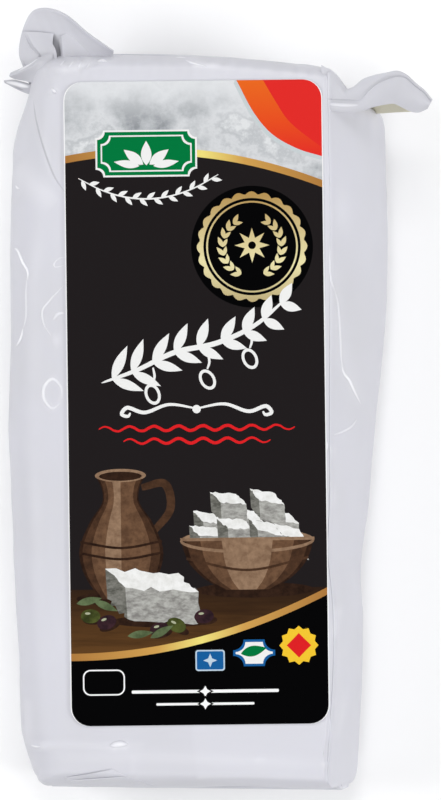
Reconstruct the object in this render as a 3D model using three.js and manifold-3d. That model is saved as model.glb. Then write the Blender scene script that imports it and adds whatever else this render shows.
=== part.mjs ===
// A shut vacuum pack of white cheese: a soft block in shrink film, with a label on its front.
// Millimetres. The pack lies on its back: +Z is its front, +Y its top end and +X its right side.
// Places are measured from the middle of the front, near the label's centre.

import * as THREE from "three";
import { mergeVertices } from "three/addons/utils/BufferGeometryUtils.js";
import Module from "manifold-3d";

const wasm = await Module();
wasm.setup();

// Block
const THICKNESS = 46;
const FOOT = -106.2;
const FOOT_TILT = 0.012; // how far the foot edge falls for each millimetre to the right
const TOP = { peakX: -20, peakY: 105.4, fall: 4, over: 58, cornerX: 38, cornerWidth: 10, cornerFall: 8 };
const LENGTH = TOP.peakY - FOOT;

// Sides. Places along them are shares of the length, from 0, the foot, to 1, the top.
// The left side narrows from its fullest place to both ends, by a curve whose power is its bow.
const LEFT = {
  reach: 53.5,
  fullest: 0.48,
  narrowerAt: { foot: 4.8, top: 0.8 },
  bow: 1.3,
  footCorner: { cut: 3.2, ends: 0.075 },
  underEar: { cut: 5.5, starts: 0.865, ends: 0.985 },
};
const RIGHT = {
  reach: { foot: 49.2, top: 56.4 },
  widens: { from: 0.28, to: 0.79 },
  waist: { at: 0.33, depth: 0.9, spread: 0.035 },
  footCorner: { cut: 1.8, ends: 0.22 },
  underEar: { cut: 0.7, starts: 0.8, ends: 0.98 },
};

// The front's right edge stands in from the side, more so towards the top
const SLANT = { foot: 9, top: 17.6, from: 0.2, to: 0.8, startHeight: 0.3, curve: 1.2 };

// How much higher the front is in the middle than at its edges
const CROWN = 0.8;

// The left side's flat facet, between the block's outline and a crease that runs up to the left ear
const FACET = { footX: -38, footY: 64.5, topX: -46.8, topY: 101.5, slope: 0.3, from: 40, to: 80 };

// Rounding of the block's edges, and the stretches of the cube's grid over which the radii blend
const ROUND = { left: 12, leftFoot: 4, right: 2.5, front: 11, back: 7, top: 5, foot: 5.5 };
const BLEND = { front: [-0.4, 0.6], rightSide: [-1, -0.3], nearRight: [0.7, 1], aboveFoot: [-1, -0.8] };

// Label
const LABEL = { width: 74, length: 184, corner: 5.3, thickness: 0.4, gap: 0.3, x: 0.45, y: 4.9 };
const LABEL_TURN = THREE.MathUtils.degToRad(0.7);
const LABEL_STEPS = { across: 10, along: 24, corner: 4 };

// Film that stands off the block: two layers, pressed together
const SHEET = 1.4;

// The seals at the two ends. Each strip's middle is this far outside the block's end.
const TOP_SEAL = { from: 50, to: -46, height: 30, width: 12, proud: -0.3 };
const FOOT_SEAL = { from: -38, to: 44, height: 24, width: 12, proud: 0.2 };

// Grid steps over the block: flat stretches, and each rounded edge
const STEPS = { across: 12, along: 32, deep: 5, round: 3 };

const { lerp, smoothstep, clamp } = THREE.MathUtils;
const hump = (distance, spread) => Math.exp(-0.5 * (distance / spread) ** 2);

// The block's left and right sides at a place t along it
function leftEdge(t) {
  const { reach, fullest, narrowerAt, footCorner, underEar } = LEFT;
  const fromFullest = 2 * (t - fullest);
  const narrower = fromFullest < 0 ? narrowerAt.foot : narrowerAt.top;
  const bow = narrower * Math.abs(fromFullest) ** LEFT.bow;
  const atFoot = footCorner.cut * (1 - clamp(t / footCorner.ends, 0, 1));
  const atTop = underEar.cut * smoothstep(t, underEar.starts, underEar.ends);
  return bow + atFoot + atTop - reach;
}

function rightEdge(t) {
  const { reach, widens, waist, footCorner, underEar } = RIGHT;
  const side = lerp(reach.foot, reach.top, smoothstep(t, widens.from, widens.to));
  const atWaist = waist.depth * hump(t - waist.at, waist.spread);
  const atFoot = footCorner.cut * (1 - smoothstep(t, 0, footCorner.ends));
  const atTop = underEar.cut * smoothstep(t, underEar.starts, underEar.ends);
  return side - atWaist - atFoot - atTop;
}

function footEdge(x) {
  return FOOT - FOOT_TILT * x;
}

// The top edge falls away from its peak, and steeply past the front's right corner
function topEdge(x) {
  const corner = TOP.cornerFall * smoothstep(x, TOP.cornerX, TOP.cornerX + TOP.cornerWidth);
  return TOP.peakY - TOP.fall * ((x - TOP.peakX) / TOP.over) ** 2 - corner;
}

// Height of the front above the floor
function frontHeight(x, y) {
  const crown = CROWN * (0.5 * (x / LEFT.reach) ** 2 + 0.5 * ((2 * y) / LENGTH) ** 4);
  const along = clamp((y - FACET.footY) / (FACET.topY - FACET.footY), 0, 1);
  const crease = lerp(FACET.footX, FACET.topX, along);
  const facet = FACET.slope * Math.max(0, crease - x) * smoothstep(y, FACET.from, FACET.to);
  return THICKNESS - crown - facet;
}

// How far round the edges of the block a point lies: each radius follows the nearest sides
function edgeRadius(point) {
  const aboveFoot = smoothstep(point.y, ...BLEND.aboveFoot);
  const leftSide = lerp(ROUND.leftFoot, ROUND.left, aboveFoot);
  const nearRight = lerp(ROUND.foot, ROUND.right, aboveFoot);
  const left = lerp(ROUND.back, leftSide, smoothstep(point.z, ...BLEND.front));
  const right = lerp(ROUND.back, ROUND.right, smoothstep(point.z, ...BLEND.rightSide));
  const front = lerp(ROUND.front, nearRight, smoothstep(point.x, ...BLEND.nearRight));
  return new THREE.Vector3(
    point.x < 0 ? left : right,
    point.y < 0 ? ROUND.foot : ROUND.top,
    point.z < 0 ? ROUND.back : front,
  );
}

// From the cube's grid, each coordinate from -1 to 1, to an even block with rounded edges
function roundedBlock(point) {
  const radius = edgeRadius(point);
  const half = [LEFT.reach, LENGTH / 2, THICKNESS / 2];
  const steps = [STEPS.across, STEPS.along, STEPS.deep];
  const core = new THREE.Vector3();
  const out = new THREE.Vector3();
  for (const axis of [0, 1, 2]) {
    const value = point.getComponent(axis);
    const side = Math.sign(value);
    const inner = half[axis] - radius.getComponent(axis);
    const flat = steps[axis] / (steps[axis] + 2 * STEPS.round);
    core.setComponent(axis, side * inner * Math.min(1, Math.abs(value) / flat));
    out.setComponent(axis, side * Math.max(0, (Math.abs(value) - flat) / (1 - flat)));
  }
  return core.add(out.normalize().multiply(radius));
}

// From the even block to the soft one: taper, slanted right side, sloping top edge and crown
function softBlock(point) {
  const t = point.y / LENGTH + 0.5;
  const height = point.z + THICKNESS / 2;
  const across = (point.x / LEFT.reach + 1) / 2;
  const slant = lerp(SLANT.foot, SLANT.top, smoothstep(t, SLANT.from, SLANT.to));
  const above = clamp((height / THICKNESS - SLANT.startHeight) / (1 - SLANT.startHeight), 0, 1);
  const lifted = above ** SLANT.curve * clamp(2 * across - 1, 0, 1);
  const x = lerp(leftEdge(t), rightEdge(t), across) - slant * lifted;
  const y = lerp(footEdge(x), topEdge(x), t);
  return new THREE.Vector3(x, y, (height * frontHeight(x, y)) / THICKNESS);
}

function blockGeometry() {
  const grid = [STEPS.across, STEPS.along, STEPS.deep].map((flat) => flat + 2 * STEPS.round);
  const cube = new THREE.BoxGeometry(2, 2, 2, ...grid);
  cube.deleteAttribute("normal");
  cube.deleteAttribute("uv");
  const geometry = mergeVertices(cube);
  const position = geometry.getAttribute("position");
  for (let i = 0; i < position.count; i += 1) {
    const corner = new THREE.Vector3().fromBufferAttribute(position, i);
    position.setXYZ(i, ...softBlock(roundedBlock(corner)).toArray());
  }
  return geometry;
}

// A closed sheet: middle(a, b) gives its middle surface, for a and b from 0 to 1
function sheetGeometry(stepsA, stepsB, thickness, middle) {
  const points = [];
  const faces = [];
  const row = stepsB + 1;
  const back = (stepsA + 1) * row;
  const nudge = 0.004;
  for (const side of [0.5, -0.5]) {
    for (let i = 0; i <= stepsA; i += 1) {
      for (let j = 0; j <= stepsB; j += 1) {
        const [a, b] = [i / stepsA, j / stepsB];
        const alongA = middle(Math.min(1, a + nudge), b).sub(middle(Math.max(0, a - nudge), b));
        const alongB = middle(a, Math.min(1, b + nudge)).sub(middle(a, Math.max(0, b - nudge)));
        const normal = alongA.cross(alongB).normalize();
        points.push(...middle(a, b).addScaledVector(normal, side * thickness).toArray());
      }
    }
  }
  const quad = (p, q, r, s) => faces.push(p, q, r, p, r, s);
  for (let i = 0; i < stepsA; i += 1) {
    for (let j = 0; j < stepsB; j += 1) {
      const p = i * row + j;
      quad(p, p + row, p + row + 1, p + 1);
      quad(back + p, back + p + 1, back + p + row + 1, back + p + row);
    }
    const low = i * row;
    const high = low + stepsB;
    quad(low, back + low, back + low + row, low + row);
    quad(high, high + row, back + high + row, back + high);
  }
  for (let j = 0; j < stepsB; j += 1) {
    const last = stepsA * row + j;
    quad(j, j + 1, back + j + 1, back + j);
    quad(last, back + last, back + last + 1, last + 1);
  }
  const geometry = new THREE.BufferGeometry();
  geometry.setAttribute("position", new THREE.Float32BufferAttribute(points, 3));
  geometry.setIndex(faces);
  return geometry;
}

const rim = (...points) =>
  new THREE.CatmullRomCurve3(points.map((p) => new THREE.Vector3(...p)), false, "centripetal");

// A sheet's middle surface, drawn straight from each rim to the next, with creases at the rims between
function pleated(rims, bulge) {
  return (a, b) => {
    const place = b * (rims.length - 1);
    const first = Math.min(Math.floor(place), rims.length - 2);
    const point = rims[first].getPoint(a).lerp(rims[first + 1].getPoint(a), place - first);
    point.z += bulge * Math.sin(Math.PI * (place - first));
    return point;
  };
}

// The left ear's hood, whose hollow side faces the front
const HOOD = pleated(
  [
    rim([-48, 97, 33], [-36, 99, 35], [-24, 102, 38]),
    rim(
      [-49.2, 101.6, 36], [-50.7, 105.6, 35], [-49.5, 113.4, 35], [-46.8, 117.9, 36],
      [-43, 118.6, 37], [-37.8, 117, 38], [-30.9, 111.3, 39], [-23.5, 106, 40],
    ),
  ],
  -1,
);

// The lobe in front of the hood, from its outer edge over a crease to the edge beside the pocket
const LOBE = pleated(
  [
    rim([-49.8, 112, 35.2], [-50.6, 108.2, 35], [-50.7, 105.3, 35], [-49.4, 101.4, 35]),
    rim([-49.3, 111.9, 35.4], [-47.6, 107.9, 37.2], [-45.3, 104.9, 38.2], [-44.2, 102, 38.5]),
    rim([-48.8, 111.9, 35.4], [-46.8, 107.9, 36.6], [-44.5, 104.9, 37.4], [-43.4, 102, 38]),
    rim([-45.2, 111.7, 35.4], [-43.8, 109, 36.6], [-42.6, 106, 37.8], [-42, 102, 39.5]),
    rim([-40.8, 111.3, 35.6], [-41, 108.2, 37.2], [-40.1, 106.4, 38.3], [-39.5, 102, 39.6]),
  ],
  0,
);

// The dark pocket beside the lobe, and the fold that overhangs it and runs out into the hood
const POCKET = pleated(
  [
    rim([-38.9, 110.6, 35.6], [-39, 108.8, 36], [-38.8, 106.8, 36.4], [-38.4, 104, 37.8]),
    rim([-38.5, 110.6, 36.2], [-38.2, 108.8, 37.2], [-38, 106.8, 37.9], [-37.8, 104, 38.8]),
    rim([-35.5, 112, 35.6], [-33.4, 109.5, 36], [-31.6, 107, 36.4], [-30, 104, 36.8]),
  ],
  0,
);

// The pleat under the lobe: a strip down to the left, and the film that runs from it onto the block
const TUCK = pleated(
  [
    rim(
      [-41, 105.2, 39], [-43, 104.6, 39.2], [-44.9, 103.9, 39.4],
      [-46.8, 102.6, 39], [-49.9, 101.1, 38], [-53.1, 99.8, 37],
    ),
    rim(
      [-41, 103.6, 39.6], [-43, 103.2, 40.2], [-44.8, 102.8, 40.4],
      [-46.6, 101.6, 40.2], [-49.5, 100.2, 39.4], [-53.4, 98.9, 37.6],
    ),
    rim(
      [-41, 101.4, 42], [-42.6, 100.4, 41.4], [-44.6, 98.9, 40],
      [-46.6, 97.2, 37.8], [-49, 97.8, 36.6], [-52, 98.4, 36.4],
    ),
  ],
  0,
);

// The sharp tip below the pleat
const SPIKE = pleated(
  [
    rim([-55.2, 97.8, 35], [-52.5, 98, 35], [-49.5, 97.3, 35], [-46, 96, 36]),
    rim([-54.9, 97.4, 34.4], [-52.3, 96, 33.4], [-49.8, 94.9, 32.6], [-46, 93.5, 33]),
  ],
  0,
);

// The right ear: from its lower edge over a crease to its upper edge, out to the slanted tip
const FLAP = pleated(
  [
    rim(
      [36.2, 88.6, 43.8], [39, 88.5, 43.6], [41.2, 88.4, 43], [43.3, 88.4, 42.2], [45.3, 88.4, 41.4],
      [48, 88.9, 40.6], [51, 89.9, 39.8], [54.5, 90.7, 39], [57.2, 91, 38.2], [59.4, 90.1, 37.2],
      [62, 89, 35.8], [64.4, 88.8, 34.8], [67, 90, 33.8],
    ),
    rim(
      [36.2, 91.6, 43.8], [39, 91.6, 43.6], [41.2, 91.6, 42.8], [43.3, 91.6, 42], [45.3, 91.6, 41.4],
      [47.6, 92, 40.8], [49.6, 94.2, 41], [52.4, 96.6, 41.5], [57, 98.4, 41.6], [60, 98.4, 40.8],
      [63.4, 96, 38], [66.1, 94.2, 35.7], [68.2, 92, 34],
    ),
    rim(
      [36.2, 101.6, 43], [39, 99.9, 43.4], [41.2, 97.7, 43], [43.3, 94.9, 41.9], [45.3, 95.4, 41.8],
      [48, 97.6, 42], [51, 98.7, 42.4], [54.5, 99.4, 42.8], [57.8, 100, 42.4], [60.2, 99.2, 41.2],
      [63.5, 96.7, 38.4], [66.2, 94.7, 36], [68.3, 92.3, 34.2],
    ),
  ],
  0.6,
);

// The ear's second layer: from the block's side, behind the flap's lower edge, out to its tip
const UNDER_FLAP = pleated(
  [
    rim(
      [50, 90, 14], [54.6, 89.6, 20], [58.1, 89.4, 26],
      [60.7, 89.2, 30], [63.4, 89.1, 32.6], [65.6, 89.6, 33.6],
    ),
    rim(
      [50, 92, 17], [54.2, 93, 24], [57.5, 94, 29],
      [60.5, 94, 32.4], [63.6, 93.4, 34], [66.4, 92.4, 34.4],
    ),
  ],
  -0.5,
);

// A seal: a flat strip against an end of the block
function sealStrip(seal, end) {
  return (a, b) => {
    const x = lerp(seal.from, seal.to, a);
    const face = end > 0 ? topEdge(x) : footEdge(x);
    return new THREE.Vector3(x, face + seal.proud * end, seal.height + seal.width * (b - 0.5));
  };
}

// The sheets of film that stand off the block, with their grid steps along the rims and across them
const SHEETS = [
  { middle: HOOD, along: 18, across: 4 },
  { middle: LOBE, along: 8, across: 8 },
  { middle: POCKET, along: 6, across: 4 },
  { middle: TUCK, along: 12, across: 4 },
  { middle: SPIKE, along: 6, across: 2 },
  { middle: FLAP, along: 27, across: 6 },
  { middle: UNDER_FLAP, along: 12, across: 3 },
  { middle: sealStrip(TOP_SEAL, 1), along: 16, across: 2 },
  { middle: sealStrip(FOOT_SEAL, -1), along: 16, across: 2 },
];

// Raised folds on the film, as paths seen from the front
const FOLD_HEIGHT = 0.55;
const FOLDS = [
  // the right side's bulge, above and below
  { width: 2.4, path: [[38.6, 49], [41.7, 23], [45.1, 10.1], [48.3, 4.3]] },
  { width: 2.4, path: [[48.3, 4.3], [47.4, 1.4], [43.1, -2.3], [39.4, -4.9]] },
  // brackets on the left side and beside the label
  { width: 2.2, path: [[-52.3, 48.9], [-48.6, 42.5], [-48, 34], [-51.4, 21]] },
  { width: 2, path: [[-38.2, 38.8], [-41.7, 34.5], [-44, 30.2], [-40.8, 21.6]] },
  // along the foot, and the right side's foot
  { width: 2.6, path: [[-40, -96.6], [-13, -96.2], [12, -97.4], [37, -98.4]] },
  { width: 2, path: [[43.4, -78], [42.4, -84], [40.2, -91.5]] },
];

// A slender ridge, pointed at both ends and half sunk in the block
function foldGeometry(block, { path, width }) {
  const down = new THREE.Raycaster();
  const points = path.map(([x, y]) => {
    down.set(new THREE.Vector3(x, y, 2 * THICKNESS), new THREE.Vector3(0, 0, -1));
    return down.intersectObject(block)[0].point;
  });
  const curve = new THREE.CatmullRomCurve3(points);
  const rings = 12;
  const sides = 6;
  const vertices = [...curve.getPoint(0).toArray()];
  const faces = [];
  for (let i = 1; i < rings; i += 1) {
    const a = i / rings;
    const centre = curve.getPoint(a);
    const across = new THREE.Vector3(0, 0, 1).cross(curve.getTangent(a)).normalize();
    const taper = Math.sin(Math.PI * a) ** 0.6;
    for (let k = 0; k < sides; k += 1) {
      const turn = (2 * Math.PI * k) / sides;
      const point = centre.clone().addScaledVector(across, 0.5 * width * taper * Math.cos(turn));
      point.z += 2 * FOLD_HEIGHT * taper * Math.sin(turn);
      vertices.push(...point.toArray());
    }
  }
  vertices.push(...curve.getPoint(1).toArray());
  const last = vertices.length / 3 - 1;
  for (let k = 0; k < sides; k += 1) {
    const next = (k + 1) % sides;
    faces.push(0, 1 + next, 1 + k);
    faces.push(last, last - sides + k, last - sides + next);
    for (let i = 0; i < rings - 2; i += 1) {
      const [near, far] = [1 + i * sides, 1 + (i + 1) * sides];
      faces.push(near + k, near + next, far + next, near + k, far + next, far + k);
    }
  }
  const geometry = new THREE.BufferGeometry();
  geometry.setAttribute("position", new THREE.Float32BufferAttribute(vertices, 3));
  geometry.setIndex(faces);
  return geometry;
}

// The label's middle surface: a rectangle with round corners, laid on the front
function labelSheet(a, b) {
  const cornerShare = LABEL_STEPS.corner / LABEL_STEPS.along;
  const fromEnd = Math.min(b, 1 - b);
  const turn = Math.min(1, fromEnd / cornerShare) * 0.5 * Math.PI;
  const straight = clamp((b - cornerShare) / (1 - 2 * cornerShare), 0, 1) - 0.5;
  const beyond = Math.sign(b - 0.5) * LABEL.corner * Math.cos(turn);
  const y = straight * (LABEL.length - 2 * LABEL.corner) + beyond;
  const half = LABEL.width / 2 - LABEL.corner * (1 - Math.sin(turn));
  const place = new THREE.Vector2(2 * half * (a - 0.5), y);
  place.rotateAround(new THREE.Vector2(), LABEL_TURN).add(LABEL);
  const lift = LABEL.gap + LABEL.thickness / 2;
  return new THREE.Vector3(place.x, place.y, frontHeight(place.x, place.y) + lift);
}

function solid(geometry) {
  const made = new wasm.Manifold(
    new wasm.Mesh({
      numProp: 3,
      vertProperties: geometry.getAttribute("position").array,
      triVerts: new Uint32Array(geometry.index.array),
    }),
  );
  if (made.volume() <= 0) throw new Error("a piece is inside out");
  return made;
}

function packGeometry() {
  const block = blockGeometry();
  const blockMesh = new THREE.Mesh(block);
  const pieces = [
    ...SHEETS.map((sheet) => sheetGeometry(sheet.along, sheet.across, SHEET, sheet.middle)),
    ...FOLDS.map((fold) => foldGeometry(blockMesh, fold)),
  ];
  const whole = pieces.reduce((made, piece) => made.add(solid(piece)), solid(block));
  const mesh = whole.getMesh();
  const geometry = new THREE.BufferGeometry();
  geometry.setAttribute("position", new THREE.BufferAttribute(mesh.vertProperties, 3));
  geometry.setIndex(new THREE.BufferAttribute(mesh.triVerts, 1));
  geometry.computeVertexNormals();
  return geometry;
}

const film = new THREE.MeshStandardMaterial({ color: 0xdcdce4, roughness: 0.32, metalness: 0 });
const print = new THREE.MeshStandardMaterial({ color: 0x232020, roughness: 0.45, metalness: 0 });

const pack = new THREE.Mesh(packGeometry(), film);
pack.name = "pack";

const { across, along } = LABEL_STEPS;
const label = new THREE.Mesh(sheetGeometry(across, along, LABEL.thickness, labelSheet), print);
label.name = "label";

// The origin is on the floor, under the middle of the pack's box
const whole = new THREE.Group();
whole.add(pack, label);
const middle = new THREE.Box3().setFromObject(pack).getCenter(new THREE.Vector3());
whole.position.set(-middle.x, -middle.y, 0);

export default whole;
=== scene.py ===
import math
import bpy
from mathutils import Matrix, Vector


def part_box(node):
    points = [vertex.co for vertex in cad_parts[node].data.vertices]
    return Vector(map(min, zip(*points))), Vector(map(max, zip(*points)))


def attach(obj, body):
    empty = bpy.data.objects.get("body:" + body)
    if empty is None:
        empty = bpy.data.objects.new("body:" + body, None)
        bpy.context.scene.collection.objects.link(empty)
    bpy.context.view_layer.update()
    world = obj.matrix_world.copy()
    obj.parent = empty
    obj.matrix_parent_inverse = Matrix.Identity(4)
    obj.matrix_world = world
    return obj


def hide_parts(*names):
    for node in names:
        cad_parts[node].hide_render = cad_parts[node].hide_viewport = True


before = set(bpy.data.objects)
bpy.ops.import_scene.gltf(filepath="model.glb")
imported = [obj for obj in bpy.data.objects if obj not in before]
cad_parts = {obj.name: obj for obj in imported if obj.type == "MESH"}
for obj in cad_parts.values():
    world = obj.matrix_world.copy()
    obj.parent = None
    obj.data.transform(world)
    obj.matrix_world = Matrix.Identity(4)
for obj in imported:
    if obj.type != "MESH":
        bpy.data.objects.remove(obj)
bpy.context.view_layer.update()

# A shut vacuum pack of white cheese: shrink film drawn tight over a soft block, with a printed label.
# Shapes are worked out in millimetres from the middle of the front, and moved to the frame at the end.

from types import SimpleNamespace as Sizes

import bpy
import numpy as np
from mathutils import Vector
from mathutils.bvhtree import BVHTree
from mathutils.geometry import delaunay_2d_cdt

MM = 0.001

# Block, as the solids have it
THICKNESS = 46
FOOT = -106.2
FOOT_TILT = 0.012
TOP = Sizes(peak_x=-20, peak_y=105.4, fall=4, over=58, corner_x=38, corner_width=10, corner_fall=8)
LENGTH = TOP.peak_y - FOOT
LEFT_REACH = 53.5
LEFT_BOW = Sizes(fullest=0.48, foot=4.8, top=0.8, power=1.3)
LEFT_ENDS = Sizes(foot_cut=3.2, foot_ends=0.075, top_cut=5.5, top=(0.865, 0.985))
RIGHT_REACH = Sizes(foot=49.2, top=56.4, widens=(0.28, 0.79))
WAIST = Sizes(at=0.33, depth=0.9, spread=0.035)
RIGHT_ENDS = Sizes(foot_cut=1.8, foot_ends=0.22, top_cut=0.7, top=(0.8, 0.98))
SLANT = Sizes(foot=9, top=17.6, start=0.2, end=0.8, start_height=0.3, curve=1.2)
CROWN = 0.8
FACET = Sizes(foot_x=-38, foot_y=64.5, top_x=-46.8, top_y=101.5, slope=0.3, start=40, end=80)
ROUND = Sizes(left=12, left_foot=4, right=2.5, front=11, back=7, top=5, foot=5.5)
BLEND = Sizes(front=(-0.4, 0.6), right_side=(-1, -0.3), near_right=(0.7, 1), above_foot=(-1, -0.8))
FLAT_SHARE = np.array([12 / 18, 32 / 38, 5 / 11])  # of the grid in each direction, between its rounded edges

# Label
LABEL = Sizes(width=74, length=184, corner=5.3, thickness=0.35, gap=0.3, sunk=0.2, x=0.45, y=4.9)
LABEL_TURN = 0.7  # degrees
PAPER_EDGE = 0.3
INK_DEPTH = 0.78
PRINT_GRID = 5.0
PRINT_TOLERANCE = 1e-4

# Film: the sheets that stand off the block, and the colours of the painted highlight and painted shade along
# creases
SHEET = 0.5
CRISP_EDGE = 50  # degrees
# the point attribute that carries painted highlight, above 0, and painted shade, below 0
PAINTED_LIGHT_ATTRIBUTE = "painted_light"
PAINTED_HIGHLIGHT_COLOUR = (0.93, 0.93, 0.96)
PAINTED_SHADE_COLOUR = (0.2, 0.2, 0.22)

# Camera, at the photograph's angle: straight down on the front
PHOTO = Sizes(height=800, pixels_per_mm=3.5, middle_x=7.3, middle_y=5.7)
CAMERA_DISTANCE = 1100
SENSOR_WIDTH = 36

label_low, label_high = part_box("label")
SHIFT = (label_low + label_high) / 2 / MM - Vector((LABEL.x, LABEL.y, 0))
SHIFT.z = 0


# Small tools

def smoothstep(value, start, end):
    t = np.clip((value - start) / (end - start), 0, 1)
    return t * t * (3 - 2 * t)


def lerp(a, b, t):
    return a + (b - a) * t


def hump(distance, spread):
    return np.exp(-0.5 * (distance / spread) ** 2)


def turned(places, degrees):
    c, s = math.cos(math.radians(degrees)), math.sin(math.radians(degrees))
    return places @ np.array([[c, s], [-s, c]])


def waves(points, length, seed, count=14):
    """A gentle random rise and fall, from -1 to 1 or so, whose waves are about as long as length."""
    rng = np.random.default_rng(seed)
    total = np.zeros(len(points))
    for _ in range(count):
        direction = rng.normal(size=3)
        direction /= np.linalg.norm(direction) * length * rng.uniform(0.6, 1.6)
        total += np.sin(points @ (direction * 2 * math.pi) + rng.uniform(0, 2 * math.pi))
    return total / math.sqrt(count)


def spline(points, t):
    """A centripetal curve through the points, at each t from 0 to 1."""
    points = np.asarray(points, float)
    ends = [2 * points[0] - points[1], *points, 2 * points[-1] - points[-2]]
    place = np.clip(t, 0, 1) * (len(points) - 1)
    first = np.minimum(place.astype(int), len(points) - 2)
    share = (place - first)[..., None]
    ends = np.array(ends)
    p0, p1, p2, p3 = (ends[first + k] for k in range(4))
    d0, d1, d2 = (np.sqrt(np.linalg.norm(b - a, axis=-1, keepdims=True))
                  for a, b in ((p0, p1), (p1, p2), (p2, p3)))
    out = ((p1 - p0) / d0 - (p2 - p0) / (d0 + d1) + (p2 - p1) / d1) * d1
    into = ((p2 - p1) / d1 - (p3 - p1) / (d1 + d2) + (p3 - p2) / d2) * d1
    cubic = 2 * p1 - 2 * p2 + out + into
    square = 3 * (p2 - p1) - 2 * out - into
    return p1 + share * (out + share * (square + share * cubic))


def distance_to_path(xy, path):
    """How far each point lies from a path seen from the front, and how far along the path that is."""
    corners = spline(path, np.linspace(0, 1, 8 * len(path)))
    best = np.full(len(xy), np.inf)
    place = np.zeros(len(xy))
    for k, (a, b) in enumerate(zip(corners[:-1], corners[1:])):
        run = b - a
        share = np.clip((xy - a) @ run / (run @ run), 0, 1)
        distance = np.linalg.norm(xy - a - share[:, None] * run, axis=1)
        nearer = distance < best
        best[nearer] = distance[nearer]
        place[nearer] = (k + share[nearer]) / (len(corners) - 1)
    return best, place


def mesh_object(name, points, faces, materials, inks=None, painted_light=None, crisp=None):
    """A smooth-shaded object from points in millimetres. Edges that turn by more than crisp stay sharp."""
    mesh = bpy.data.meshes.new(name)
    mesh.from_pydata(((points + np.array(SHIFT)) * MM).tolist(), [], faces.tolist())
    mesh.polygons.foreach_set("use_smooth", np.ones(len(mesh.polygons), bool))
    for material in materials:
        mesh.materials.append(material)
    if inks is not None:
        mesh.polygons.foreach_set("material_index", inks.astype(np.int32))
    # painted highlight and painted shade, kept on the points
    if painted_light is not None:
        mesh.attributes.new(PAINTED_LIGHT_ATTRIBUTE, "FLOAT", "POINT").data.foreach_set("value", painted_light.astype(np.float32))
    if crisp is not None:
        mesh.set_sharp_from_angle(angle=math.radians(crisp))
    mesh.update()
    made = bpy.data.objects.new(name, mesh)
    bpy.context.scene.collection.objects.link(made)
    return made


# The block's form, as in the solids

def left_edge(t):
    from_fullest = 2 * (t - LEFT_BOW.fullest)
    narrower = np.where(from_fullest < 0, LEFT_BOW.foot, LEFT_BOW.top)
    bow = narrower * np.abs(from_fullest) ** LEFT_BOW.power
    at_foot = LEFT_ENDS.foot_cut * (1 - np.clip(t / LEFT_ENDS.foot_ends, 0, 1))
    return bow + at_foot + LEFT_ENDS.top_cut * smoothstep(t, *LEFT_ENDS.top) - LEFT_REACH


def right_edge(t):
    side = lerp(RIGHT_REACH.foot, RIGHT_REACH.top, smoothstep(t, *RIGHT_REACH.widens))
    at_waist = WAIST.depth * hump(t - WAIST.at, WAIST.spread)
    at_foot = RIGHT_ENDS.foot_cut * (1 - smoothstep(t, 0, RIGHT_ENDS.foot_ends))
    return side - at_waist - at_foot - RIGHT_ENDS.top_cut * smoothstep(t, *RIGHT_ENDS.top)


def top_edge(x):
    corner = TOP.corner_fall * smoothstep(x, TOP.corner_x, TOP.corner_x + TOP.corner_width)
    return TOP.peak_y - TOP.fall * ((x - TOP.peak_x) / TOP.over) ** 2 - corner


def front_height(x, y):
    crown = CROWN * (0.5 * (x / LEFT_REACH) ** 2 + 0.5 * (2 * y / LENGTH) ** 4)
    along = np.clip((y - FACET.foot_y) / (FACET.top_y - FACET.foot_y), 0, 1)
    crease = lerp(FACET.foot_x, FACET.top_x, along)
    facet = FACET.slope * np.maximum(0, crease - x) * smoothstep(y, FACET.start, FACET.end)
    return THICKNESS - crown - facet


def edge_radius(grid):
    x, y, z = grid.T
    above_foot = smoothstep(y, *BLEND.above_foot)
    left_side = lerp(ROUND.left_foot, ROUND.left, above_foot)
    near_right = lerp(ROUND.foot, ROUND.right, above_foot)
    left = lerp(ROUND.back, left_side, smoothstep(z, *BLEND.front))
    right = lerp(ROUND.back, ROUND.right, smoothstep(z, *BLEND.right_side))
    front = lerp(ROUND.front, near_right, smoothstep(x, *BLEND.near_right))
    return np.stack([
        np.where(x < 0, left, right),
        np.where(y < 0, ROUND.foot, ROUND.top),
        np.where(z < 0, ROUND.back, front),
    ], axis=1)


def rounded_block(grid):
    radius = edge_radius(grid)
    side = np.sign(grid)
    inner = np.array([LEFT_REACH, LENGTH / 2, THICKNESS / 2]) - radius
    core = side * inner * np.minimum(1, np.abs(grid) / FLAT_SHARE)
    out = side * np.maximum(0, (np.abs(grid) - FLAT_SHARE) / (1 - FLAT_SHARE))
    out /= np.linalg.norm(out, axis=1, keepdims=True)
    return core + out * radius


def soft_block(points):
    t = points[:, 1] / LENGTH + 0.5
    height = points[:, 2] + THICKNESS / 2
    across = (points[:, 0] / LEFT_REACH + 1) / 2
    slant = lerp(SLANT.foot, SLANT.top, smoothstep(t, SLANT.start, SLANT.end))
    start = SLANT.start_height
    above = np.clip((height / THICKNESS - start) / (1 - start), 0, 1)
    lifted = above ** SLANT.curve * np.clip(2 * across - 1, 0, 1)
    x = lerp(left_edge(t), right_edge(t), across) - slant * lifted
    y = lerp(FOOT - FOOT_TILT * x, top_edge(x), t)
    return np.stack([x, y, height * front_height(x, y) / THICKNESS], axis=1)


# The film's fine relief. Paths are seen from the front, in millimetres.

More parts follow.
